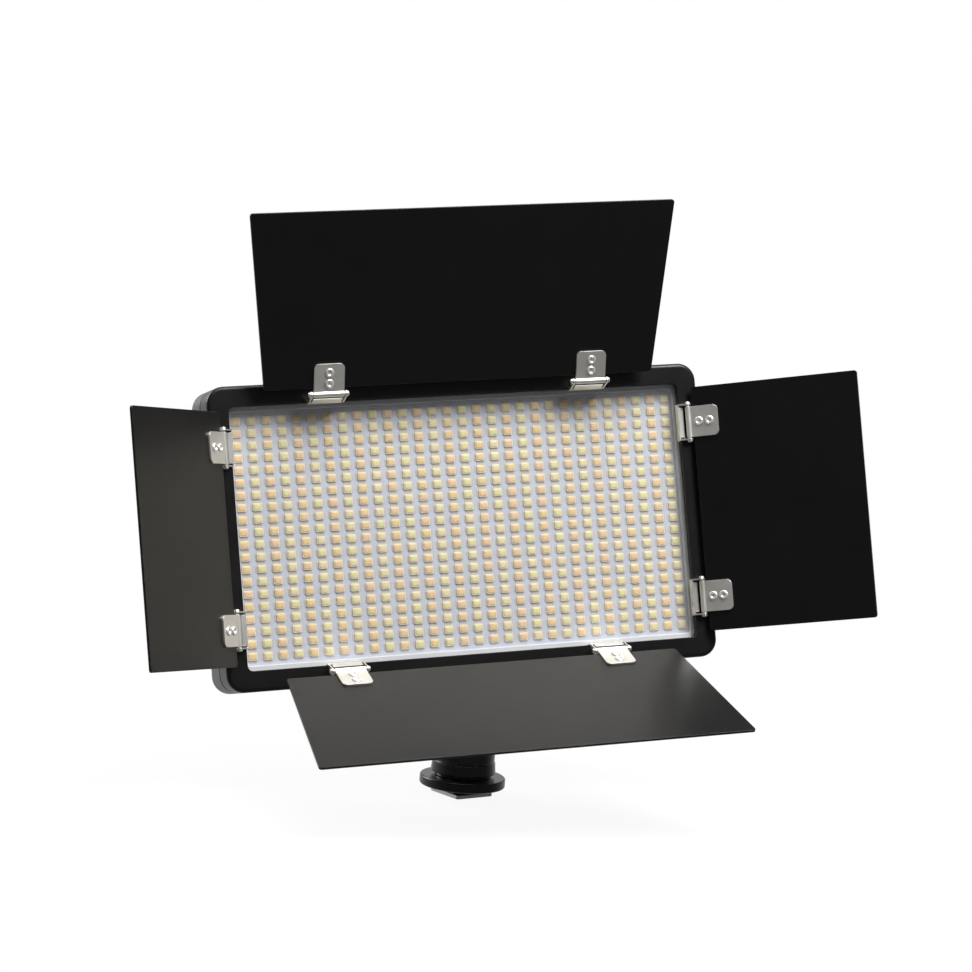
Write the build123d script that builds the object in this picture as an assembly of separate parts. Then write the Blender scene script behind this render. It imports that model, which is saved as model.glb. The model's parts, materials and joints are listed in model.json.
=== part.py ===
from build123d import *
from math import cos, pi, sin
import os

# LED panel light with four barn doors, on a small ball head with a shoe foot.
# Row frame: +Z up along the ball head, the panel faces -Y, the origin is the centre of
# the foot's underside.  Panel pieces are drawn in the panel's own frame first:
# X to the right, Y back from the bezel's front face, Z up, origin at the panel's centre.

# Panel body
body_w = 211.0
body_h = 123.2
body_d = 27.8
body_r = 7.3
wall = 2.0
opening_w = 193.4
opening_h = 106.2
opening_r = 2.2
flange_t = 2.6
bezel_d = 11.2
band_t = 1.0
band_inset = 0.9
front_edge_r = 1.6
back_edge_r = 2.6

# Light engine
columns = 30
rows = 20
pitch_x = 6.4
pitch_z = 5.0
chip_w = 3.5
chip_h = 2.8
chip_t = 0.8
chip_y = 5.35
track_w = 1.2
track_t = 0.1
board_w = 204.0
board_h = 117.0
board_t = 1.6
window_t = 1.2
window_lap = 2.0
window_gap = 0.05
sink_t = 1.5
board_screw_spots = [(x, z) for x in (-101.0, 101.0) for z in (-50.0, 0.0, 50.0)]
board_screw_spots += [(x, z) for x in (-30.0, 30.0) for z in (-57.2, 57.2)]

# Barn doors and their hinges
door_t = 1.0
leaf_t = 0.8
leaf_w = 13.0
leaf_len = 12.7
leaf_corner_r = 2.1
knuckle_r = 1.2
knuckle_bore_r = 0.8
pin_r = 0.75
ear_r = 1.35
ear_t = 0.6
ear_gap = 0.45
ear_bore_r = 0.78
bracket_t = 0.5
lip_w = 12.4
rivet_spots = (4.5, 9.0)
rivet_r = 1.0
rivet_rim_r = 1.85
pin_head_r = 1.15
pin_head = 1.0
pocket_front = 2.05
flange_reach = 4.5
side_axis_x = 100.0
side_axis_out = 1.9
side_hinge_z = 36.6
side_door_half = 51.1
side_door_len = 70.9
side_door_start = 1.9
cross_axis_z = 55.7
cross_axis_out = 5.8
cross_hinge_x = 56.2
cross_door_half = 83.2
cross_door_half_outer = 90.1
cross_door_len = 72.5
cross_door_start = 2.6
top_angle = 20.2
bottom_angle = 61.4
left_angle = 48.3
right_angle = 36.6

# Rear of the panel
plate_w = 42.0
plate_h = 76.0
plate_t = 3.0
plate_x = 70.0
plate_z = 4.0
terminal_z = -24.0
latch_w = 12.0
latch_h = 5.2
latch_z = 35.4
pocket_z = 34.0
knob_x = 13.5
knob_z = 2.0
knob_r = 7.5
knob_len = 9.0
knob_gap = 0.5
knob_ribs = 24
shaft_r = 3.0
shaft_bush_r = 3.05
display_w = 36.0
display_h = 18.0
display_z = 34.0
rocker_w = 19.0
rocker_h = 12.8
rocker_z = -27.0
rocker_tip = 7.0
rocker_pivot_x = 7.9
jack_z = -43.5
jack_r = 2.75
driver_w = 62.0
driver_h = 88.0
driver_y = 15.0
driver_t = 1.6
driver_screw_spots = [(x, z) for x in (-27.0, 27.0) for z in (-38.0, 42.0)]
cover_screw_spots = [(x, z) for x in (-98.0, 98.0) for z in (-54.0, 54.0)]
cover_screw_spots += [(x, z) for x in (-38.0, 38.0) for z in (-54.0, 54.0)]

# Ball head, from the foot up
foot_side = 18.6
foot_t = 1.5
foot_turn = 21.0
foot_block_w = 12.4
foot_block_top = 3.2
stud_r = 5.0
foot_thread_r = 2.6
foot_thread_len = 9.0
wheel_z = 3.6
wheel_t = 4.0
wheel_r = 17.7
wheel_edge_r = 0.8
housing_z = 7.9
housing_neck_r = 11.6
housing_neck_h = 1.3
housing_r = 13.4
housing_band_h = 4.6
housing_top_r = 12.7
housing_h = 25.2
collar_h = 3.3
ball_z = 32.9
ball_r = 9.5
ball_gap = 0.15
cup_r = 10.8
cup_fit = 0.1
cup_low = 10.4
stem_r = 4.0
stem_top = 11.2
disc_r = 13.0
disc_t = 3.9
pad_t = 0.9
mount_screw_r = 3.1
mount_screw_fit = 0.08
mount_screw_len = 22.0
insert_r = 4.5
insert_len = 10.0
insert_x = -1.8
insert_y = 14.35
seat_gap = 0.2
clamp_z = 26.0
clamp_r = 7.0
clamp_screw_r = 3.0
clamp_lobes = 7
disc_notches = 36

# Panel pose on the ball: leaned back about X, then rolled about its own depth axis
lean_back = 12.9
roll = 5.3
seat_height = stem_top + disc_t + pad_t + seat_gap
panel_place = (
    Location((0, 0, ball_z), (-lean_back, -roll, 0))
    * Location((-insert_x, -insert_y, body_h / 2 + seat_height))
)
stem_place = Location((0, 0, ball_z), (-lean_back, -roll, 0))


def slab(width, height, corner, y_front, y_back, x=0.0, z=0.0):
    """Rounded plate in the panel's XZ plane, from y_front to y_back."""
    sketch_plane = Plane(origin=(x, y_back, z), x_dir=(1, 0, 0), z_dir=(0, -1, 0))
    if corner > 0:
        outline = RectangleRounded(width, height, corner)
    else:
        outline = Rectangle(width, height)
    return extrude(sketch_plane * outline, amount=y_back - y_front)


def rod_y(radius, y_front, y_back, x, z):
    """Round bar along the panel's depth."""
    base = Plane(origin=(x, y_back, z), x_dir=(1, 0, 0), z_dir=(0, -1, 0))
    return extrude(base * Circle(radius), amount=y_back - y_front)


def rod_z(radius, z_low, z_high, x=0.0, y=0.0):
    """Upright round bar."""
    base = Plane(origin=(x, y, z_low), x_dir=(1, 0, 0), z_dir=(0, 0, 1))
    return extrude(base * Circle(radius), amount=z_high - z_low)


def block(x_low, x_high, y_low, y_high, z_low, z_high):
    """Plain box between two corners."""
    size = (x_high - x_low, y_high - y_low, z_high - z_low)
    middle = ((x_low + x_high) / 2, (y_low + y_high) / 2, (z_low + z_high) / 2)
    return Pos(*middle) * Box(*size)


def save(name, *solids, place=Location()):
    """Write one node from one or more separate solids."""
    placed = [place * solid for solid in solids]
    node = placed[0] if len(placed) == 1 else Compound(children=placed)
    export_step(node, f"parts/{name}.step")


# ---------------------------------------------------------------- panel shells
def insert_hole():
    """Round clearance for the tripod insert through the underside."""
    return rod_z(insert_r + 0.1, -body_h / 2 - 1, -body_h / 2 + insert_len + 1, insert_x, insert_y)


def bracket_pockets():
    """Shallow pockets behind the bezel flange for the hinge brackets."""
    half = leaf_w / 2 + ear_t + ear_gap + 0.3
    back = flange_t + 0.05
    pockets = []
    for sign in (-1, 1):
        for offset in (-cross_hinge_x, cross_hinge_x):
            low = sign * opening_h / 2 - 5
            pockets.append(block(offset - half, offset + half, pocket_front, back, low, low + 10))
        for offset in (-side_hinge_z, side_hinge_z):
            low = sign * opening_w / 2 - 5
            pockets.append(block(low, low + 10, pocket_front, back, offset - half, offset + half))
    return pockets


def front_bezel():
    shell = slab(body_w, body_h, body_r, 0, bezel_d)
    shell = fillet(shell.faces().sort_by(Axis.Y)[0].edges(), front_edge_r)
    shell -= slab(body_w - 2 * wall, body_h - 2 * wall, body_r - wall, flange_t, bezel_d + 1)
    shell -= slab(opening_w, opening_h, opening_r, -1, flange_t + 1)
    for x, z in board_screw_spots:
        shell += rod_y(1.9, flange_t - 0.1, chip_y + chip_t, x, z)
        shell -= rod_y(0.95, flange_t + 0.6, chip_y + chip_t + 1, x, z)
    for pocket in bracket_pockets():
        shell -= pocket
    return shell - insert_hole()


def middle_frame():
    """Recessed band between the two shells; the heat spreader is screwed to it."""
    outer_w = body_w - 2 * band_inset
    outer_h = body_h - 2 * band_inset
    ring = slab(outer_w, outer_h, body_r - band_inset, bezel_d, bezel_d + band_t)
    ring -= slab(outer_w - 9, outer_h - 7, body_r - 4, bezel_d - 1, bezel_d + band_t + 1)
    for x, z in board_screw_spots + cover_screw_spots:
        ring -= rod_y(2.6, bezel_d - 1, bezel_d + band_t + 1, x, z)
    return ring - insert_hole()


def rear_cover():
    start = bezel_d + band_t
    inner_back = body_d - wall
    shell = slab(body_w, body_h, body_r, start, body_d)
    shell = fillet(shell.faces().sort_by(Axis.Y)[-1].edges(), back_edge_r)
    shell -= slab(body_w - 2 * wall, body_h - 2 * wall, body_r - wall, start - 1, inner_back)
    for x, z in cover_screw_spots:
        shell += rod_y(3.2, start + 0.2, inner_back + 0.1, x, z)
        shell -= rod_y(1.3, start - 1, body_d + 1, x, z)
        shell -= rod_y(2.6, body_d - 1.6, body_d + 1, x, z)
    for x, z in driver_screw_spots:
        shell += rod_y(2.4, driver_y + driver_t, inner_back + 0.1, x, z)
        shell -= rod_y(0.95, driver_y + driver_t - 1, inner_back - 0.5, x, z)
    shell -= slab(display_w, display_h, 1.5, inner_back - 1, body_d + 1, 0, display_z)
    for x in (-knob_x, knob_x):
        shell -= rod_y(3.7, inner_back - 1, body_d + 1, x, knob_z)
    shell -= slab(rocker_w, rocker_h, 1.0, inner_back - 1, body_d + 1, 0, rocker_z)
    shell -= rod_y(5.05, inner_back - 1, body_d + 1, 0, jack_z)
    for side in (-1, 1):
        shell -= slab(16, 5, 1.0, inner_back - 1, body_d + 1, side * plate_x, terminal_z)
        for step in range(7):
            slot_x = side * (plate_x - 18 + 6 * step)
            shell -= slab(2.4, 9, 1.1, inner_back - 1, body_d + 1, slot_x, 47.5)
    for step in range(9):
        shell -= slab(2.4, 7, 1.1, inner_back - 1, body_d + 1, -24 + 6 * step, 52.5)
    return shell - insert_hole()


def window_plate():
    front = flange_t + window_gap
    width = opening_w + 2 * window_lap
    return slab(width, opening_h + 2 * window_lap, opening_r + 1, front, front + window_t)


# ---------------------------------------------------------------- light engine
def drilled_board(y_front, thickness):
    board = slab(board_w, board_h, 3.0, y_front, y_front + thickness)
    for x, z in board_screw_spots:
        board -= rod_y(1.1, y_front - 1, y_front + thickness + 1, x, z)
    return board


def led_columns(first_column):
    """Every other column: its chips in series on one raised conductor track."""
    back = chip_y + chip_t
    strings = []
    for column in range(first_column, columns, 2):
        x = (column - (columns - 1) / 2) * pitch_x
        string = slab(track_w, (rows - 1) * pitch_z, 0, back - track_t, back, x, 0)
        levels = [(row - (rows - 1) / 2) * pitch_z for row in range(rows)]
        string += [slab(chip_w, chip_h, 0, chip_y, back, x, z) for z in levels]
        strings.append(string)
    return strings


def pan_screw(x, z, y_seat, length, shaft_r, head_r, head_t):
    """Screw driven forward: the head sits on y_seat, behind the shaft."""
    screw = rod_y(shaft_r, y_seat - length, y_seat, x, z)
    screw += rod_y(head_r, y_seat, y_seat + head_t, x, z)
    for turn in (0, 90):
        slot = Pos(x, y_seat + head_t, z) * Rot(0, turn, 0) * Box(head_r * 1.2, 0.9, 0.45)
        screw -= slot
    return screw


def driver_parts():
    """Inductors, capacitors and power stages standing on the driver board."""
    face = driver_y
    solids = []
    for x in (-18.0, 18.0):
        solids.append(slab(12, 12, 2.0, face - 2.6, face, x, 26))
        solids.append(rod_y(4.0, face - 2.7, face, x, 8))
        solids.append(slab(9, 7, 0.4, face - 1.6, face, x, -10))
    solids.append(slab(14, 14, 0.4, face - 1.4, face, 0, -30))
    solids.append(slab(16, 6, 0.4, face - 2.6, face, 0, 38))
    return solids


# ---------------------------------------------------------------- barn doors
def hinge_plane(centre, along):
    """Frame of a hinge: x along the pin, y away from the window, z to the front."""
    return Plane(origin=centre, x_dir=along, z_dir=(0, -1, 0))


door_frames = {
    "top": hinge_plane((0, -cross_axis_out, cross_axis_z), (1, 0, 0)),
    "bottom": hinge_plane((0, -cross_axis_out, -cross_axis_z), (-1, 0, 0)),
    "left": hinge_plane((-side_axis_x, -side_axis_out, 0), (0, 0, 1)),
    "right": hinge_plane((side_axis_x, -side_axis_out, 0), (0, 0, -1)),
}
door_angles = {"top": top_angle, "bottom": bottom_angle, "left": left_angle, "right": right_angle}


def hinge_offsets(door):
    """Distances of the two hinges along the pin line."""
    reach = cross_hinge_x if door in ("top", "bottom") else side_hinge_z
    return (-reach, reach)


def door_panel(door):
    """Thin sheet; the upper and lower doors widen towards their free edge."""
    if door in ("top", "bottom"):
        start, length = cross_door_start, cross_door_len
        near, far = cross_door_half, cross_door_half_outer
    else:
        start, length = side_door_start, side_door_len
        near, far = side_door_half, side_door_half
    end = start + length
    points = [(-near, start), (-far, end), (far, end), (near, start)]
    outline = make_face(Polyline(*points, close=True))
    outline = fillet(outline.vertices(), 1.2)
    sheet = extrude(Plane.XY.offset(-leaf_t / 2 - door_t) * outline, amount=door_t)
    for offset in hinge_offsets(door):
        for reach in rivet_spots:
            sheet -= Pos(offset, reach, 0) * Cylinder(rivet_r + 0.05, 6)
    return sheet


def hinge_leaf(offset):
    """Moving leaf with its rolled knuckle."""
    width = leaf_w - 0.2
    tab = Pos(offset, (1.0 + leaf_len) / 2, 0) * Box(width, leaf_len - 1.0, leaf_t)
    outer_edges = tab.edges().filter_by(Axis.Z).group_by(Axis.Y)[-1]
    tab = fillet(outer_edges, leaf_corner_r)
    leaf = tab + Pos(offset, 0, 0) * Rot(0, 90, 0) * Cylinder(knuckle_r, width)
    leaf -= Pos(offset, 0, 0) * Rot(0, 90, 0) * Cylinder(knuckle_bore_r, width + 2)
    for reach in rivet_spots:
        leaf -= Pos(offset, reach, 0) * Cylinder(rivet_r + 0.05, 6)
    return leaf


def rivet(offset, reach):
    """Eyelet rivet: a rolled rim on the leaf side, a low dome on the outer side."""
    top = leaf_t / 2
    low = -leaf_t / 2 - door_t
    dome = [(0, low - 0.5), (1.1, low - 0.4), (1.5, low)]
    shank = [(rivet_r, low), (rivet_r, top)]
    rim = [(rivet_rim_r, top), (rivet_rim_r, top + 0.25), (1.5, top + 0.55), (1.0, top + 0.5)]
    eye = [(0.65, top + 0.1), (0, top + 0.1)]
    profile = Polyline(*dome, *shank, *rim, *eye, close=True)
    body = revolve(Plane.XZ * make_face(profile), Axis.Z, 360)
    return Pos(offset, reach, 0) * body


def strip(points, width, offset):
    """Flat strip of sheet metal: its bent section along the pin line."""
    section = make_face(Polyline(*points, close=True))
    return extrude(Plane.YZ.offset(offset - width / 2) * section, amount=width)


def hinge_bracket(offset, axis_out, edge):
    """Fixed bracket: wide flange held behind the bezel, a narrower lip, and two ears.

    axis_out is the pin's height over the bezel face, edge the distance from the pin
    line in to the edge of the window opening.
    """
    low = -axis_out - flange_t
    inner = -edge - 0.1 - bracket_t
    outer = inner + bracket_t
    held = flange_reach - edge
    knee = -axis_out + bracket_t + 0.15
    crest = max(-1.6, knee) if axis_out > side_axis_out else knee
    lip_end = -knuckle_r - 0.3
    half = leaf_w / 2 + ear_gap + ear_t
    base = [(held, low), (inner, low), (inner, knee), (outer, knee)]
    base += [(outer, low + bracket_t), (held, low + bracket_t)]
    lip = [(inner, knee - bracket_t), (inner, knee), (lip_end - 0.3, crest)]
    lip += [(lip_end, crest - bracket_t * 0.6), (outer, knee - bracket_t)]
    web = [(inner, knee - 0.6), (inner, knee), (-0.8, 1.05), (0.8, -1.05)]
    bracket = strip(base, 2 * half, offset) + strip(lip, lip_w, offset)
    for sign in (-1, 1):
        ear_mid = offset + sign * (half - ear_t / 2)
        bracket += strip(web, ear_t, ear_mid)
        bracket += Pos(ear_mid, 0, 0) * Rot(0, 90, 0) * Cylinder(ear_r, ear_t)
    return bracket - Pos(offset, 0, 0) * Rot(0, 90, 0) * Cylinder(ear_bore_r, 2 * half + 2)


def hinge_pin(offset):
    """Straight pin with rounded heads outside the ears."""
    half = leaf_w / 2 + ear_gap + ear_t + 0.05
    head = [(pin_r, half), (pin_head_r - 0.15, half), (pin_head_r, half + 0.3)]
    head += [(pin_head_r - 0.15, half + 0.7), (0.6, half + pin_head - 0.08), (0, half + pin_head)]
    foot = [(radius, -along) for radius, along in reversed(head)]
    body = revolve(Plane.XZ * make_face(Polyline(*foot, *head, close=True)), Axis.Z, 360)
    return Pos(offset, 0, 0) * Rot(0, 90, 0) * body


def save_doors():
    brackets = {"long": [], "short": []}
    pins = []
    for door, plane in door_frames.items():
        cross = door in ("top", "bottom")
        axis_out = cross_axis_out if cross else side_axis_out
        edge = cross_axis_z - opening_h / 2 if cross else side_axis_x - opening_w / 2
        kind = "long" if cross else "short"
        fixed = panel_place * plane.location
        swung = fixed * Location((0, 0, 0), (door_angles[door], 0, 0))
        for offset in hinge_offsets(door):
            brackets[kind].append(fixed * hinge_bracket(offset, axis_out, edge))
            pins.append(fixed * hinge_pin(offset))
        save(f"{door}_door", door_panel(door), place=swung)
        leaves = [hinge_leaf(offset) for offset in hinge_offsets(door)]
        save(f"{door}_door_leaves", *leaves, place=swung)
        rivets = [rivet(offset, reach) for offset in hinge_offsets(door) for reach in rivet_spots]
        save(f"{door}_door_rivets", *rivets, place=swung)
    save("long_hinge_brackets", *brackets["long"])
    save("short_hinge_brackets", *brackets["short"])
    save("hinge_pins", *pins)


# ---------------------------------------------------------------- rear fittings
def battery_plate(side):
    """Slide-on battery plate with guide rails, a terminal block and a release pocket."""
    x = side * plate_x
    face = body_d + plate_t
    plate = slab(plate_w, plate_h, 3.0, body_d, face, x, plate_z)
    plate = chamfer(plate.faces().sort_by(Axis.Y)[-1].edges(), 0.8)
    for edge in (-1, 1):
        rail_x = x + edge * (plate_w / 2 - 2.6)
        plate += slab(2.6, 46, 0.8, face - 0.1, face + 2.4, rail_x, 10)
        for height in (-6.0, 20.0):
            plate -= slab(3.2, 9, 0.6, face - 1.8, face + 1, x + edge * 12.5, height)
    plate += slab(22, 9, 1.0, face - 0.1, face + 2.6, x, terminal_z)
    plate -= slab(14, 3.4, 0.5, body_d - 1, face + 3, x, terminal_z)
    plate -= slab(latch_w + 0.4, 8.4, 0.8, face - 2.2, face + 1, x, pocket_z)
    return plate


def battery_contacts():
    """Two spring blades and one sense blade in each terminal block."""
    face = body_d + plate_t
    blades = []
    for side in (-1, 1):
        for step in (-5, 0, 5):
            blades.append(slab(1.2, 2.8, 0, body_d - 3, face + 2.0, side * plate_x + step, terminal_z))
    return blades


def battery_latch(side):
    """Release button that slides down its pocket at the plate's upper end."""
    x = side * plate_x
    face = body_d + plate_t
    latch = slab(latch_w, latch_h, 0.7, face - 2.1, face + 1.2, x, latch_z)
    for step in (-1, 0, 1):
        latch -= slab(9, 0.5, 0, face + 0.8, face + 2, x, latch_z + 1.3 * step)
    return latch


def control_knob(x):
    """Ribbed knob with a pointer groove, pressed on the control's shaft."""
    front = body_d + knob_gap
    knob = rod_y(knob_r, front, front + knob_len, x, knob_z)
    knob = chamfer(knob.faces().sort_by(Axis.Y)[-1].edges(), 0.9)
    for step in range(knob_ribs):
        angle = 2 * pi * step / knob_ribs
        rib_x = x + knob_r * sin(angle)
        rib_z = knob_z + knob_r * cos(angle)
        knob -= rod_y(0.45, front - 1, front + knob_len - 1.4, rib_x, rib_z)
    knob -= slab(0.9, 5.0, 0, front + knob_len - 0.5, front + knob_len + 1, x, knob_z + 4.2)
    return knob - rod_y(shaft_r + 0.02, front - 1, front + 6.0, x, knob_z)


def control_pot(x):
    """Rotary control: body on the driver board, bushing and shaft through the cover."""
    pot = slab(11, 11, 0.8, driver_y + driver_t, driver_y + driver_t + 6.5, x, knob_z)
    pot += rod_y(3.5, driver_y + driver_t + 6, body_d, x, knob_z)
    return pot - rod_y(shaft_bush_r, driver_y + driver_t + 5, body_d + 1, x, knob_z)


def control_shaft(x):
    return rod_y(shaft_r, driver_y + driver_t + 5.2, body_d + knob_gap + 5.9, x, knob_z)


def rocker_frame():
    frame = slab(rocker_w + 3, rocker_h + 3, 1.6, body_d, body_d + 1.4, 0, rocker_z)
    frame += slab(rocker_w - 0.2, rocker_h - 0.2, 0.9, body_d - 9.0, body_d + 0.1, 0, rocker_z)
    frame -= slab(rocker_w - 3.4, rocker_h - 2.4, 0.3, body_d - 8.0, body_d + 3, 0, rocker_z)
    for side in (-1, 1):
        pivot = Pos(side * rocker_pivot_x, body_d - 1.5, rocker_z) * Rot(0, 90, 0) * Cylinder(0.8, 2.8)
        frame += pivot
    return frame


def rocker_paddle():
    """Wedge-topped paddle, drawn level and then tipped to its off position."""
    half_w = (rocker_w - 4.2) / 2
    half_h = (rocker_h - 3.6) / 2
    crown = [(-half_h, -1.0), (-half_h, 2.6), (0, 1.9), (half_h, 2.6), (half_h, -1.0)]
    outline = make_face(Polyline(*crown, (1.6, -2.6), (-1.6, -2.6), close=True))
    base = Plane(origin=(-half_w, 0, 0), x_dir=(0, 0, 1), z_dir=(-1, 0, 0))
    paddle = extrude(base * outline, amount=-2 * half_w)
    paddle -= Rot(0, 90, 0) * Cylinder(0.88, 2 * half_w + 2)
    return Pos(0, body_d - 1.5, rocker_z) * Rot(rocker_tip, 0, 0) * paddle


def dc_jack():
    """Barrel power socket with its centre pin."""
    inner_back = body_d - wall
    jack = rod_y(6.2, body_d, body_d + 0.9, 0, jack_z)
    jack += rod_y(5.0, inner_back - 8, body_d + 0.1, 0, jack_z)
    jack -= rod_y(jack_r, inner_back - 7, body_d + 2, 0, jack_z)
    return jack + rod_y(1.0, inner_back - 7.1, body_d - 0.6, 0, jack_z)


def save_rear():
    place = panel_place
    save("battery_plate_left", battery_plate(-1), place=place)
    save("battery_plate_right", battery_plate(1), place=place)
    save("battery_contacts", *battery_contacts(), place=place)
    save("battery_latch_left", battery_latch(-1), place=place)
    save("battery_latch_right", battery_latch(1), place=place)
    save("brightness_knob", control_knob(-knob_x), place=place)
    save("color_knob", control_knob(knob_x), place=place)
    save("brightness_shaft", control_shaft(-knob_x), place=place)
    save("color_shaft", control_shaft(knob_x), place=place)
    save("control_bodies", control_pot(-knob_x), control_pot(knob_x), place=place)
    save("rocker_frame", rocker_frame(), place=place)
    save("rocker_paddle", rocker_paddle(), place=place)
    save("dc_jack", dc_jack(), place=place)
    display = slab(display_w - 0.2, display_h - 0.2, 1.4, body_d - 1.2, body_d + 0.2, 0, display_z)
    save("display_window", display, place=place)
    module = slab(display_w + 4, display_h + 4, 0.6, body_d - wall - 3.2, body_d - wall, 0, display_z)
    save("display_module", module, place=place)


# ---------------------------------------------------------------- panel, inside
def save_panel():
    place = panel_place
    save("front_bezel", front_bezel(), place=place)
    save("middle_frame", middle_frame(), place=place)
    save("rear_cover", rear_cover(), place=place)
    save("window_plate", window_plate(), place=place)
    board_y = chip_y + chip_t
    save("led_board", drilled_board(board_y, board_t), place=place)
    save("warm_led_columns", *led_columns(0), place=place)
    save("cool_led_columns", *led_columns(1), place=place)
    sink_y = board_y + board_t
    save("heat_spreader", drilled_board(sink_y, sink_t), place=place)
    seat = sink_y + sink_t
    screws = [pan_screw(x, z, seat, 5.2, 0.9, 1.9, 1.2) for x, z in board_screw_spots]
    save("board_screws", *screws, place=place)
    board = slab(driver_w, driver_h, 1.5, driver_y, driver_y + driver_t, 0, 0)
    for x, z in driver_screw_spots:
        board -= rod_y(1.1, driver_y - 1, driver_y + driver_t + 1, x, z)
    save("driver_board", board, place=place)
    save("driver_parts", *driver_parts(), place=place)
    fixings = []
    for x, z in driver_screw_spots:
        screw = rod_y(0.9, driver_y, driver_y + driver_t + 5, x, z)
        fixings.append(screw + rod_y(1.9, driver_y - 1.2, driver_y, x, z))
    save("driver_screws", *fixings, place=place)
    covers = [pan_screw(x, z, body_d - 1.6, 12.5, 1.2, 2.4, 1.3) for x, z in cover_screw_spots]
    save("rear_cover_screws", *covers, place=place)
    low = -body_h / 2
    insert = rod_z(insert_r, low, low + insert_len, insert_x, insert_y)
    insert -= rod_z(mount_screw_r + mount_screw_fit, low - 1, low + insert_len - 1, insert_x, insert_y)
    save("tripod_insert", insert, place=place)


# ---------------------------------------------------------------- ball head
def shoe_foot():
    foot = extrude(Rot(0, 0, foot_turn) * RectangleRounded(foot_side, foot_side, 1.2), amount=foot_t)
    foot += rod_z(stud_r, 0.5, housing_z + 6)
    return foot - rod_z(foot_thread_r, -1, foot_thread_len)


def foot_block():
    """Guide block between the shoe's rails; it carries the lock wheel's travel stop."""
    guide = Rot(0, 0, foot_turn) * Rectangle(foot_side - 0.2, foot_block_w)
    solid = extrude(Pos(0, 0, foot_t) * guide, amount=foot_block_top - foot_t)
    return solid - rod_z(stud_r + 0.02, foot_t - 1, foot_block_top + 1)


def lock_wheel():
    wheel = rod_z(wheel_r, wheel_z, wheel_z + wheel_t)
    wheel = fillet(wheel.edges(), wheel_edge_r)
    return wheel - rod_z(stud_r + 0.06, wheel_z - 1, wheel_z + wheel_t + 1)


def ball_housing():
    """Turned barrel: a narrow neck over the wheel, a flared band, then a straight wall."""
    top = housing_z + housing_h
    band_low = housing_z + housing_neck_h
    band_top = band_low + housing_band_h
    groove_r = housing_top_r - 0.3
    neck = [(0, housing_z), (housing_neck_r, housing_z), (housing_neck_r, band_low)]
    band = [(housing_r - 0.3, band_low), (housing_r, band_low + 0.4), (housing_top_r + 0.3, band_top)]
    groove = [(groove_r, band_top + 0.2), (groove_r, band_top + 0.8), (housing_top_r, band_top + 1.0)]
    profile = Polyline(*neck, *band, *groove, (housing_top_r, top), (0, top), close=True)
    shell = revolve(Plane.XZ * make_face(profile), Axis.Z, 360)
    shell -= rod_z(stud_r + 0.02, housing_z - 1, housing_z + 6.1)
    shell -= rod_z(cup_r + cup_fit, ball_z - cup_low - 0.3, top + 1)
    bore = Pos(0, housing_r, clamp_z) * Rot(90, 0, 0) * Cylinder(clamp_screw_r + 0.06, 2 * 4.5)
    return shell - bore


def housing_collar():
    low = housing_z + housing_h
    ring = rod_z(housing_top_r + 0.1, low, low + collar_h)
    ring = chamfer(ring.edges().group_by(Axis.Z)[-1], 0.7)
    return ring - Pos(0, 0, ball_z) * Sphere(ball_r + ball_gap)


def ball_cup():
    cup = rod_z(cup_r, ball_z - cup_low, ball_z - 0.2)
    return cup - Pos(0, 0, ball_z) * Sphere(ball_r + ball_gap) - rod_z(4.0, ball_z - cup_low - 1, ball_z)


def save_mount():
    save("shoe_foot", shoe_foot())
    save("foot_block", foot_block())
    save("lock_wheel", lock_wheel())
    save("ball_housing", ball_housing())
    save("housing_collar", housing_collar())
    save("ball_cup", ball_cup())
    ball = Sphere(ball_r) + rod_z(stem_r, 0, stem_top)
    ball = ball - rod_z(mount_screw_r + 0.02, 4, stem_top + 1)
    save("ball_and_stem", ball, place=stem_place)
    screw = rod_z(mount_screw_r, 4, mount_screw_len)
    save("mounting_screw", chamfer(screw.edges().group_by(Axis.Z)[-1], 0.5), place=stem_place)
    disc = rod_z(disc_r, stem_top + 0.1, stem_top + disc_t)
    disc = chamfer(disc.edges(), 0.5)
    for step in range(disc_notches):
        angle = 2 * pi * step / disc_notches
        notch_x = disc_r * cos(angle)
        notch_y = disc_r * sin(angle)
        disc -= rod_z(0.5, stem_top, stem_top + disc_t + 1, notch_x, notch_y)
    disc -= rod_z(mount_screw_r + mount_screw_fit, stem_top - 1, stem_top + disc_t + 1)
    save("thumb_disc", disc, place=stem_place)
    pad = rod_z(disc_r - 1.5, stem_top + disc_t, stem_top + disc_t + pad_t)
    pad -= rod_z(mount_screw_r + 0.4, stem_top, stem_top + disc_t + pad_t + 1)
    save("rubber_pad", pad, place=stem_place)
    clamp_place = Location((0, 0, clamp_z), (-90, 0, 0))
    screw = rod_z(clamp_screw_r, cup_r + 0.2, 20)
    save("clamp_screw", screw, place=clamp_place)
    knob = rod_z(clamp_r, 14.0, 24.0)
    knob = chamfer(knob.edges().group_by(Axis.Z)[-1], 1.0)
    for step in range(clamp_lobes):
        angle = 2 * pi * step / clamp_lobes
        lobe_x = (clamp_r + 0.9) * cos(angle)
        lobe_y = (clamp_r + 0.9) * sin(angle)
        knob -= rod_z(1.6, 13, 25, lobe_x, lobe_y)
    knob -= rod_z(clamp_screw_r, 13, 20)
    save("clamp_knob", knob, place=clamp_place)


os.makedirs("parts", exist_ok=True)
save_panel()
save_doors()
save_rear()
save_mount()
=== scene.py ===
import json
import math

import bmesh
import bpy
from mathutils import Matrix, Vector


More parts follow.
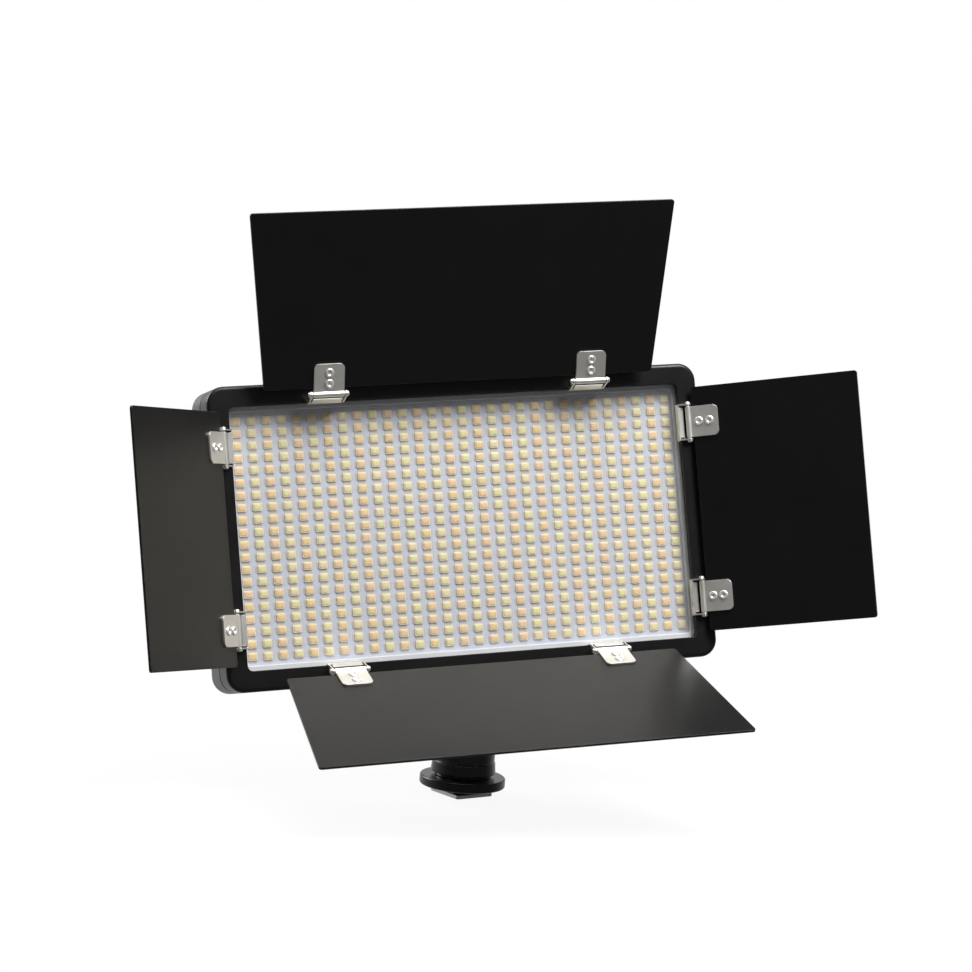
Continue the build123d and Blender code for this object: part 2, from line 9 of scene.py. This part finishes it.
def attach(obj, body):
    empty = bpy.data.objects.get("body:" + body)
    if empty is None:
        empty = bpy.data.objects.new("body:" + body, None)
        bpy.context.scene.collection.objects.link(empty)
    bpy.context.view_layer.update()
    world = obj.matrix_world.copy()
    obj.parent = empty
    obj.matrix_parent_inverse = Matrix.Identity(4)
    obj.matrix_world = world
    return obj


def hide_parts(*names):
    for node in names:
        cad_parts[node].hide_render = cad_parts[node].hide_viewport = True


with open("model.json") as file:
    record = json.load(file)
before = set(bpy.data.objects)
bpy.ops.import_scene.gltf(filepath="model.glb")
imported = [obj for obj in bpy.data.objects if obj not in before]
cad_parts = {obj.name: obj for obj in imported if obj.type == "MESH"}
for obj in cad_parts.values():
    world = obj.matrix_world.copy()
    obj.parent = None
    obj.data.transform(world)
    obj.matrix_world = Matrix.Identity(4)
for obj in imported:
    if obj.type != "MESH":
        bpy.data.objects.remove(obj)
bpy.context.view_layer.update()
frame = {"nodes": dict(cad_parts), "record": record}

nodes = frame["nodes"]

# ------------------------------------------------------------------ sizes, in metres
# The panel's own frame: X right, Y back from the bezel's face, Z up, origin at its centre.
BALL_CENTRE = (0.0, 0.0, 0.0329)
LEAN_BACK = math.radians(12.9)
ROLL = math.radians(5.3)
PANEL_OFFSET = (0.0018, -0.01435, 0.0778)
COLUMNS = 30
ROWS = 20
PITCH_X = 0.0064
PITCH_Z = 0.005
CHIP_W = 0.0036
CHIP_H = 0.0032
CHIP_T = 0.00055
CHIP_Y = 0.0056
# Half width, half height, corner radius, rise above the board.
PAD_SHAPES = ((0.0026, 0.0015, 0.0006, 0.00005), (0.0017, 0.00246, 0.0003, 0.00003))
# Half width, half height, corner radius, depth behind the bezel's face.
FRAME_RINGS = (
    (0.0986, 0.0549, 0.0030, 0.00395), (0.0986, 0.0549, 0.0030, 0.00612),
    (0.0958, 0.0514, 0.0012, 0.00612), (0.0955, 0.0511, 0.0012, 0.00420),
    (0.0957, 0.0513, 0.0012, 0.00395),
)
BACK_Y = 0.0278
KNOB_X = 0.0135
KNOB_Z = 0.002
TICKS = 11
DIAL_SWEEP = 270
LONG_TICK = (0.0091, 0.0109)
SHORT_TICK = (0.0093, 0.0104)
TICK_HALF_W = 0.0002
PRINT_T = 0.00003

panel = (
    Matrix.Translation(BALL_CENTRE)
    @ Matrix.Rotation(-LEAN_BACK, 4, "X")
    @ Matrix.Rotation(-ROLL, 4, "Y")
    @ Matrix.Translation(PANEL_OFFSET)
)


# ------------------------------------------------------------------ node helpers
class Shader:
    """Short way to wire one material's nodes."""

    def __init__(self, name):
        self.material = bpy.data.materials.new(name)
        self.material.use_nodes = True
        self.tree = self.material.node_tree
        self.tree.nodes.clear()
        self.output = self.add("ShaderNodeOutputMaterial")
        self.coords = self.add("ShaderNodeTexCoord")

    def add(self, kind, **inputs):
        node = self.tree.nodes.new(kind)
        for key, value in inputs.items():
            node.inputs[key.replace("_", " ")].default_value = value
        return node

    def link(self, source, target):
        self.tree.links.new(source, target)

    def noise(self, scale, detail=4.0, roughness=0.55, stretch=None):
        node = self.add("ShaderNodeTexNoise", Scale=scale, Detail=detail, Roughness=roughness)
        if stretch is None:
            self.link(self.coords.outputs["Object"], node.inputs["Vector"])
        else:
            mapping = self.add("ShaderNodeMapping")
            mapping.inputs["Scale"].default_value = stretch
            self.link(self.coords.outputs["Object"], mapping.inputs["Vector"])
            self.link(mapping.outputs["Vector"], node.inputs["Vector"])
        return node.outputs["Fac"]

    def spread(self, value, low, high, out_low, out_high):
        node = self.add("ShaderNodeMapRange")
        node.clamp = True
        for key, number in (("From Min", low), ("From Max", high), ("To Min", out_low), ("To Max", out_high)):
            node.inputs[key].default_value = number
        self.link(value, node.inputs["Value"])
        return node.outputs["Result"]

    def blend_colors(self, factor, first, second):
        node = self.add("ShaderNodeMix")
        node.data_type = "RGBA"
        self.link(factor, node.inputs[0])
        for socket, value in ((node.inputs[6], first), (node.inputs[7], second)):
            if hasattr(value, "is_output"):
                self.link(value, socket)
            else:
                socket.default_value = (*value, 1.0)
        return node.outputs[2]

    def math(self, operation, first, second):
        node = self.add("ShaderNodeMath")
        node.operation = operation
        for socket, value in ((node.inputs[0], first), (node.inputs[1], second)):
            if hasattr(value, "is_output"):
                self.link(value, socket)
            else:
                socket.default_value = value
        return node.outputs[0]

    def rounded(self, radius):
        node = self.add("ShaderNodeBevel", Radius=radius)
        node.samples = 6
        return node.outputs["Normal"]

    def edges(self, radius):
        """Near 1 on edges and corners, 0 on flats."""
        geometry = self.add("ShaderNodeNewGeometry")
        dot = self.add("ShaderNodeVectorMath")
        dot.operation = "DOT_PRODUCT"
        self.link(self.rounded(radius), dot.inputs[0])
        self.link(geometry.outputs["Normal"], dot.inputs[1])
        return self.spread(dot.outputs["Value"], 0.98, 0.8, 0.0, 1.0)

    def bump(self, height, strength, distance, normal=None):
        node = self.add("ShaderNodeBump", Strength=strength, Distance=distance)
        self.link(height, node.inputs["Height"])
        if normal is not None:
            self.link(normal, node.inputs["Normal"])
        return node.outputs["Normal"]

    def principled(self, **values):
        node = self.add("ShaderNodeBsdfPrincipled")
        for key, value in values.items():
            node.inputs[key.replace("_", " ")].default_value = value
        self.link(node.outputs["BSDF"], self.output.inputs["Surface"])
        return node


def finish_surface(name, color, tint, roughness, *, metallic=0.0, specular=0.5, grain=900.0,
                   grain_depth=0.00003, grain_strength=0.3, wear=None, wear_amount=0.5,
                   round_edges=0.0003, sheen=0.0, recess=None, stretch=None):
    """Solid finish: colour drift, uneven gloss, fine grain and worn edges, plus painted shade in hollows when
    a recess colour is given.
    """
    s = Shader(name)
    drift = s.spread(s.noise(60.0, 5.0, 0.6), 0.35, 0.68, 0.0, 1.0)
    base = s.blend_colors(drift, color, tint)
    bsdf = s.principled(Metallic=metallic)
    bsdf.inputs["Specular IOR Level"].default_value = specular
    bsdf.inputs["Sheen Weight"].default_value = sheen
    bsdf.inputs["Sheen Roughness"].default_value = 0.45
    fine = s.noise(grain, 3.0, 0.6, stretch)
    smudge = s.noise(35.0, 6.0, 0.65)
    low, high = roughness
    mixed = s.math("ADD", s.math("MULTIPLY", fine, 0.4), s.math("MULTIPLY", smudge, 0.6))
    gloss = s.spread(mixed, 0.35, 0.65, low, high)
    if wear is not None:
        scuff = s.spread(s.noise(420.0, 5.0, 0.7), 0.42, 0.62, 0.0, 1.0)
        worn = s.math("MULTIPLY", s.math("MULTIPLY", s.edges(round_edges * 1.5), scuff), wear_amount)
        base = s.blend_colors(worn, base, wear)
    # Painted shade: where ambient occlusion finds a hollow, the base colour turns to the recess colour.
    if recess is not None:
        hollow_shade = s.add("ShaderNodeAmbientOcclusion", Distance=0.0012)
        hollow_shade.samples = 8
        base = s.blend_colors(s.spread(hollow_shade.outputs["AO"], 0.35, 0.75, 0.0, 1.0), recess, base)
    s.link(base, bsdf.inputs["Base Color"])
    s.link(gloss, bsdf.inputs["Roughness"])
    normal = s.rounded(round_edges) if round_edges else None
    s.link(s.bump(fine, grain_strength, grain_depth, normal), bsdf.inputs["Normal"])
    return s.material


def clear_plate():
    """Clear acrylic with a faint haze and fine dust."""
    s = Shader("window_clear")
    bsdf = s.principled(Metallic=0.0, IOR=1.49)
    dust = s.spread(s.noise(2600.0, 2.0, 0.5), 0.62, 0.72, 0.0, 0.06)
    haze = s.spread(s.noise(9.0, 3.0, 0.5), 0.3, 0.7, 0.03, 0.06)
    s.link(s.math("ADD", dust, haze), bsdf.inputs["Alpha"])
    bsdf.inputs["Base Color"].default_value = (0.86, 0.90, 0.97, 1.0)
    s.link(s.spread(s.noise(40.0), 0.3, 0.7, 0.10, 0.22), bsdf.inputs["Roughness"])
    return s.material


def white_board():
    """White solder mask over faint copper runs."""
    s = Shader("board_white")
    bsdf = s.principled(Roughness=0.4)
    runs = s.noise(140.0, 1.0, 0.3, (1.0, 1.0, 0.12))
    traces = s.spread(runs, 0.49, 0.51, 0.0, 1.0)
    base = s.blend_colors(traces, (0.50, 0.53, 0.61), (0.525, 0.555, 0.635))
    s.link(base, bsdf.inputs["Base Color"])
    s.link(s.spread(s.noise(500.0), 0.3, 0.7, 0.32, 0.5), bsdf.inputs["Roughness"])
    s.link(s.bump(traces, 0.25, 0.00003), bsdf.inputs["Normal"])
    return s.material


def phosphor(name, color, deep, batch):
    """Silicone over phosphor powder: mottled, softly glossy, its tint drifting from chip to chip."""
    s = Shader(name)
    bsdf = s.principled(Roughness=0.3)
    bsdf.inputs["Coat Weight"].default_value = 0.4
    mottle = s.spread(s.noise(1800.0, 3.0, 0.6), 0.35, 0.65, 0.0, 1.0)
    drift = s.spread(s.noise(170.0, 0.0, 0.0), 0.38, 0.62, 0.0, 1.0)
    s.link(s.blend_colors(drift, s.blend_colors(mottle, color, deep), batch), bsdf.inputs["Base Color"])
    s.link(s.spread(s.noise(700.0), 0.3, 0.7, 0.25, 0.45), bsdf.inputs["Roughness"])
    return s.material


# ------------------------------------------------------------------ materials
materials = {
    "bezel_black": finish_surface(
        "bezel_black", (0.0030, 0.0026, 0.0027), (0.0046, 0.0040, 0.0040), (0.30, 0.42), grain=2600.0,
        specular=0.35, grain_strength=0.12, wear=(0.05, 0.05, 0.05), wear_amount=0.3, round_edges=0.0005),
    "case_black": finish_surface(
        "case_black", (0.021, 0.0205, 0.0205), (0.028, 0.027, 0.027), (0.32, 0.46), grain=2200.0,
        specular=0.6, grain_strength=0.3, wear=(0.07, 0.07, 0.07), wear_amount=0.4, round_edges=0.0005),
    "band_black": finish_surface("band_black", (0.006, 0.006, 0.006), (0.01, 0.01, 0.01), (0.5, 0.7)),
    "window_clear": clear_plate(),
    "board_white": white_board(),
    "led_warm": phosphor("led_warm", (0.83, 0.55, 0.31), (0.78, 0.49, 0.25), (0.78, 0.56, 0.22)),
    "led_cool": phosphor("led_cool", (0.78, 0.68, 0.38), (0.74, 0.61, 0.31), (0.71, 0.67, 0.29)),
    "frame_white": finish_surface("frame_white", (0.68, 0.68, 0.69), (0.63, 0.63, 0.64), (0.4, 0.55),
                                  grain_strength=0.1),
    "led_pad": finish_surface("led_pad", (0.55, 0.50, 0.43), (0.53, 0.485, 0.415), (0.4, 0.55),
                              grain_strength=0.05),
    "led_package": finish_surface("led_package", (0.83, 0.74, 0.56), (0.79, 0.70, 0.52), (0.3, 0.45),
                                  grain_strength=0.1, round_edges=0.0),
    "door_black": finish_surface(
        "door_black", (0.0008, 0.0006, 0.0007), (0.0014, 0.0011, 0.0012), (0.27, 0.35), grain=3200.0,
        specular=0.42, sheen=0.055, grain_strength=0.18, wear=(0.16, 0.16, 0.16), wear_amount=0.55,
        round_edges=0.00025),
    "hinge_steel": finish_surface(
        "hinge_steel", (0.88, 0.86, 0.81), (0.76, 0.74, 0.69), (0.30, 0.48), metallic=0.85, grain=1200.0,
        grain_strength=0.25, wear=(0.9, 0.89, 0.87), wear_amount=0.6, round_edges=0.0002),
    # Painted highlight: a brighter, fully metallic copy of the hinge steel for the brackets, standing in for
    # light on their lips.
    "bracket_painted_highlight": finish_surface(
        "bracket_painted_highlight", (0.98, 0.97, 0.94), (0.92, 0.91, 0.88), (0.30, 0.42), metallic=1.0, grain=1200.0,
        grain_strength=0.12, round_edges=0.0002),
    # Rivet eyelets: their recess colour is painted shade, laid into the hollows by ambient occlusion.
    "rivet_bright": finish_surface(
        "rivet_bright", (0.95, 0.94, 0.91), (0.88, 0.87, 0.84), (0.22, 0.34), metallic=0.6, grain=1500.0,
        grain_strength=0.1, recess=(0.03, 0.03, 0.03), round_edges=0.00015),
    "raw_aluminium": finish_surface(
        "raw_aluminium", (0.66, 0.67, 0.69), (0.56, 0.57, 0.59), (0.3, 0.45), metallic=1.0,
        stretch=(1.0, 1.0, 30.0)),
    "black_aluminium": finish_surface(
        "black_aluminium", (0.012, 0.0115, 0.012), (0.017, 0.0165, 0.017), (0.18, 0.27), metallic=0.35,
        grain=2800.0, grain_strength=0.12, wear=(0.55, 0.55, 0.56), wear_amount=0.75, round_edges=0.0003),
    "steel": finish_surface("steel", (0.58, 0.58, 0.57), (0.48, 0.48, 0.47), (0.2, 0.36), metallic=1.0,
                            wear=(0.8, 0.8, 0.8)),
    "black_steel": finish_surface("black_steel", (0.02, 0.02, 0.02), (0.03, 0.03, 0.03), (0.3, 0.45),
                                  metallic=0.6, wear=(0.4, 0.4, 0.4)),
    "brass": finish_surface("brass", (0.70, 0.50, 0.22), (0.60, 0.42, 0.18), (0.2, 0.35), metallic=1.0),
    "contact_gold": finish_surface("contact_gold", (0.85, 0.62, 0.26), (0.75, 0.53, 0.22), (0.15, 0.28),
                                   metallic=1.0),
    "nylon_white": finish_surface("nylon_white", (0.72, 0.71, 0.66), (0.66, 0.65, 0.60), (0.4, 0.55)),
    "rubber_black": finish_surface("rubber_black", (0.015, 0.015, 0.015), (0.022, 0.022, 0.022), (0.65, 0.85),
                                   grain=1600.0, grain_strength=0.5),
    "knob_black": finish_surface("knob_black", (0.014, 0.014, 0.014), (0.02, 0.02, 0.02), (0.38, 0.5),
                                 wear=(0.1, 0.1, 0.1), wear_amount=0.5),
    "board_green": finish_surface("board_green", (0.02, 0.13, 0.05), (0.015, 0.10, 0.04), (0.25, 0.4)),
    "component_grey": finish_surface("component_grey", (0.05, 0.05, 0.052), (0.07, 0.07, 0.072), (0.4, 0.6)),
    "display_dark": finish_surface("display_dark", (0.004, 0.005, 0.006), (0.006, 0.007, 0.008), (0.05, 0.1),
                                   grain_strength=0.02),
}

# Nodes whose looks differ from the other nodes in their slot. The brackets' finish is a painted highlight: a
# brighter copy of the hinge steel.
NODE_FINISHES = (("_door_rivets", "rivet_bright"), ("_hinge_brackets", "bracket_painted_highlight"))

for entry in frame["record"]["subparts"]:
    node = entry["node"]
    mesh = nodes[node].data
    mesh.materials.clear()
    finish = next((name for ending, name in NODE_FINISHES if node.endswith(ending)), entry["material_slot"])
    mesh.materials.append(materials[finish])


# ------------------------------------------------------------------ modelled pieces
def mesh_object(name, build, body, slot, finish=None, smooth=True):
    """New piece drawn in the panel's frame by build(bm)."""
    bm = bmesh.new()
    build(bm)
    bmesh.ops.recalc_face_normals(bm, faces=bm.faces)
    mesh = bpy.data.meshes.new(name)
    bm.to_mesh(mesh)
    bm.free()
    mesh.transform(panel)
    for polygon in mesh.polygons:
        polygon.use_smooth = smooth
    obj = bpy.data.objects.new(name, mesh)
    bpy.context.scene.collection.objects.link(obj)
    mesh.materials.append(materials[finish or slot])
    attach(obj, body)
    return obj


def rounded_loop(bm, centre, half_w, half_h, radius, y, corner_steps=3):
    """Vertices of one rounded rectangle facing the front."""
    loop = []
    for sx, sz, start in ((1, 1, 0), (-1, 1, 90), (-1, -1, 180), (1, -1, 270)):
        for step in range(corner_steps + 1):
            angle = math.radians(start + 90 * step / corner_steps)
            x = centre[0] + sx * (half_w - radius) + radius * math.cos(angle)
            z = centre[1] + sz * (half_h - radius) + radius * math.sin(angle)
            loop.append(bm.verts.new((x, y, z)))
    return loop


def bridge(bm, lower, upper):
    """Quads between two loops of the same length."""
    for i, start in enumerate(lower):
        after = (i + 1) % len(lower)
        bm.faces.new((start, lower[after], upper[after], upper[i]))


def ring_stack(bm, centre, rings):
    """Closed loft through rounded rectangles: (half width, half height, corner radius, y)."""
    loops = [rounded_loop(bm, centre, *ring) for ring in rings]
    for lower, upper in zip(loops, loops[1:]):
        bridge(bm, lower, upper)
    bm.faces.new(loops[0])
    bm.faces.new(loops[-1])


def chip_centres(first):
    """Centres of the packages in every second column."""
    for column in range(first, COLUMNS, 2):
        x = (column - (COLUMNS - 1) / 2) * PITCH_X
        for row in range(ROWS):
            yield x, (row - (ROWS - 1) / 2) * PITCH_Z


def chip_housings(bm):
    """White package with a sloped recess round the light-emitting window."""
    back = CHIP_Y + CHIP_T
    for first in (0, 1):
        for centre in chip_centres(first):
            w, h = CHIP_W / 2, CHIP_H / 2
            ring_stack(bm, centre, [
                (w, h, 0.0004, back), (w, h, 0.0004, CHIP_Y + 0.00016),
                (w - 0.00014, h - 0.00014, 0.0004, CHIP_Y), (w - 0.0003, h - 0.0003, 0.0005, CHIP_Y),
                (w - 0.00044, h - 0.00044, 0.0005, CHIP_Y + 0.0003),
            ])


def chip_windows(first):
    """Builder of the light-emitting windows in every second column."""
    def build(bm):
        for centre in chip_centres(first):
            w, h = CHIP_W / 2 - 0.00032, CHIP_H / 2 - 0.00032
            ring_stack(bm, centre, [
                (w - 0.0001, h - 0.0001, 0.0005, CHIP_Y + 0.0002), (w, h, 0.0005, CHIP_Y + 0.00006),
                (w * 0.7, h * 0.7, 0.0005, CHIP_Y + 0.00001),
            ])
    return build


def chip_pads(bm):
    """Solder lands under each package and the strip that joins them down a column."""
    back = CHIP_Y + CHIP_T
    for first in (0, 1):
        for centre in chip_centres(first):
            for w, h, radius, rise in PAD_SHAPES:
                ring_stack(bm, centre, [(w, h, radius, back), (w, h, radius, back - rise)])


def dial_marks(bm):
    """Tick marks round the two knobs on the back."""
    for knob_x in (-KNOB_X, KNOB_X):
        for step in range(TICKS):
            angle = math.radians(DIAL_SWEEP * (step / (TICKS - 1) - 0.5))
            inner, outer = LONG_TICK if step % 5 == 0 else SHORT_TICK
            along = Vector((math.sin(angle), 0.0, math.cos(angle)))
            across = Vector((math.cos(angle), 0.0, -math.sin(angle))) * TICK_HALF_W
            centre = Vector((knob_x, BACK_Y + PRINT_T, KNOB_Z))
            corners = [centre + along * reach + across * side
                       for reach, side in ((inner, -1), (outer, -1), (outer, 1), (inner, 1))]
            bm.faces.new([bm.verts.new(corner) for corner in corners])


def light_frame(bm):
    """White spacer between the board and the window plate, just outside the grid of LEDs."""
    loops = [rounded_loop(bm, (0.0, 0.0), *ring) for ring in FRAME_RINGS]
    for lower, upper in zip(loops, loops[1:] + loops[:1]):
        bridge(bm, lower, upper)


mesh_object("led_housings", chip_housings, "light_head", "board_white", "led_package", smooth=False)
mesh_object("led_pads", chip_pads, "light_head", "board_white", "led_pad", smooth=False)
mesh_object("dial_marks", dial_marks, "light_head", "nylon_white", smooth=False)
warm = mesh_object("warm_phosphor", chip_windows(0), "light_head", "led_warm")
cool = mesh_object("cool_phosphor", chip_windows(1), "light_head", "led_cool")
mesh_object("light_frame", light_frame, "light_head", "board_white", "frame_white", smooth=False)
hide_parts("warm_led_columns")
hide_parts("cool_led_columns")


# ------------------------------------------------------------------ stage
def floor_disc():
    """Pale floor that fades out at its rim."""
    bm = bmesh.new()
    bmesh.ops.create_circle(bm, cap_ends=True, radius=0.9, segments=96)
    mesh = bpy.data.meshes.new("floor")
    bm.to_mesh(mesh)
    bm.free()
    floor = bpy.data.objects.new("floor", mesh)
    bpy.context.scene.collection.objects.link(floor)
    floor.location.z = -0.0004
    s = Shader("floor_pale")
    distance = s.add("ShaderNodeVectorMath")
    distance.operation = "LENGTH"
    s.link(s.coords.outputs["Object"], distance.inputs[0])
    fade = s.spread(distance.outputs["Value"], 0.06, 0.36, 0.93, 1.0)
    diffuse = s.add("ShaderNodeBsdfDiffuse")
    diffuse.inputs["Color"].default_value = (0.93, 0.93, 0.93, 1.0)
    clear = s.add("ShaderNodeBsdfTransparent")
    mix = s.add("ShaderNodeMixShader")
    s.link(fade, mix.inputs[0])
    s.link(diffuse.outputs[0], mix.inputs[1])
    s.link(clear.outputs[0], mix.inputs[2])
    s.link(mix.outputs[0], s.output.inputs["Surface"])
    mesh.materials.append(s.material)


def studio_world():
    """White surround for the camera, dimmer for the light it gives."""
    world = bpy.data.worlds.new("studio")
    bpy.context.scene.world = world
    world.use_nodes = True
    tree = world.node_tree
    tree.nodes.clear()
    output = tree.nodes.new("ShaderNodeOutputWorld")
    path = tree.nodes.new("ShaderNodeLightPath")
    mix = tree.nodes.new("ShaderNodeMixShader")
    seen = tree.nodes.new("ShaderNodeBackground")
    seen.inputs["Color"].default_value = (1.0, 1.0, 1.0, 1.0)
    fill = tree.nodes.new("ShaderNodeBackground")
    coords = tree.nodes.new("ShaderNodeTexCoord")
    split = tree.nodes.new("ShaderNodeSeparateXYZ")
    ramp = tree.nodes.new("ShaderNodeMapRange")
    ramp.interpolation_type = "SMOOTHSTEP"
    for key, number in (("From Min", -0.35), ("From Max", 0.85), ("To Min", 0.16), ("To Max", 0.85)):
        ramp.inputs[key].default_value = number
    tree.links.new(coords.outputs["Generated"], split.inputs[0])
    tree.links.new(split.outputs["Y"], ramp.inputs["Value"])
    tree.links.new(ramp.outputs["Result"], fill.inputs["Strength"])
    tree.links.new(path.outputs["Is Camera Ray"], mix.inputs[0])
    tree.links.new(fill.outputs[0], mix.inputs[1])
    tree.links.new(seen.outputs[0], mix.inputs[2])
    tree.links.new(mix.outputs[0], output.inputs["Surface"])


def softbox(name, azimuth, elevation, distance, size, power):
    """Square area light aimed at the panel's centre; azimuth 0 is in front."""
    light = bpy.data.lights.new(name, "AREA")
    light.shape = "SQUARE"
    light.size = size
    light.energy = power
    lamp = bpy.data.objects.new(name, light)
    a, e = math.radians(azimuth), math.radians(elevation)
    away = Vector((math.sin(a) * math.cos(e), -math.cos(a) * math.cos(e), math.sin(e)))
    lamp.location = Vector(CAMERA_TARGET) + away * distance
    lamp.rotation_euler = away.to_track_quat("Z", "Y").to_euler()
    lamp.visible_camera = False
    bpy.context.scene.collection.objects.link(lamp)


CAMERA_TARGET = (0.0029, 0.0083, 0.1271)
CAMERA_AZIMUTH = -18.23
CAMERA_ELEVATION = 7.58
CAMERA_ROLL = 4.54
CAMERA_DISTANCE = 1.417
CAMERA_LENS = 127.8


def photo_camera():
    """Camera at the photo's viewing angle."""
    camera = bpy.data.objects.new("camera", bpy.data.cameras.new("camera"))
    bpy.context.scene.collection.objects.link(camera)
    a, e = math.radians(CAMERA_AZIMUTH), math.radians(CAMERA_ELEVATION)
    away = Vector((math.sin(a) * math.cos(e), -math.cos(a) * math.cos(e), math.sin(e)))
    camera.location = Vector(CAMERA_TARGET) + away * CAMERA_DISTANCE
    level = away.to_track_quat("Z", "Y").to_matrix().to_4x4()
    tilted = level @ Matrix.Rotation(math.radians(CAMERA_ROLL), 4, "Z")
    camera.rotation_euler = tilted.to_euler()
    camera.data.sensor_width = 36.0
    camera.data.lens = CAMERA_LENS
    camera.data.clip_end = 50.0
    bpy.context.scene.camera = camera


floor_disc()
studio_world()
photo_camera()
softbox("key", 36, 55, 1.2, 0.5, 17)
softbox("top", 0, 80, 1.4, 1.0, 17)
softbox("back_left", -135, 20, 1.5, 0.8, 16)
bpy.context.scene.view_settings.view_transform = "Standard"
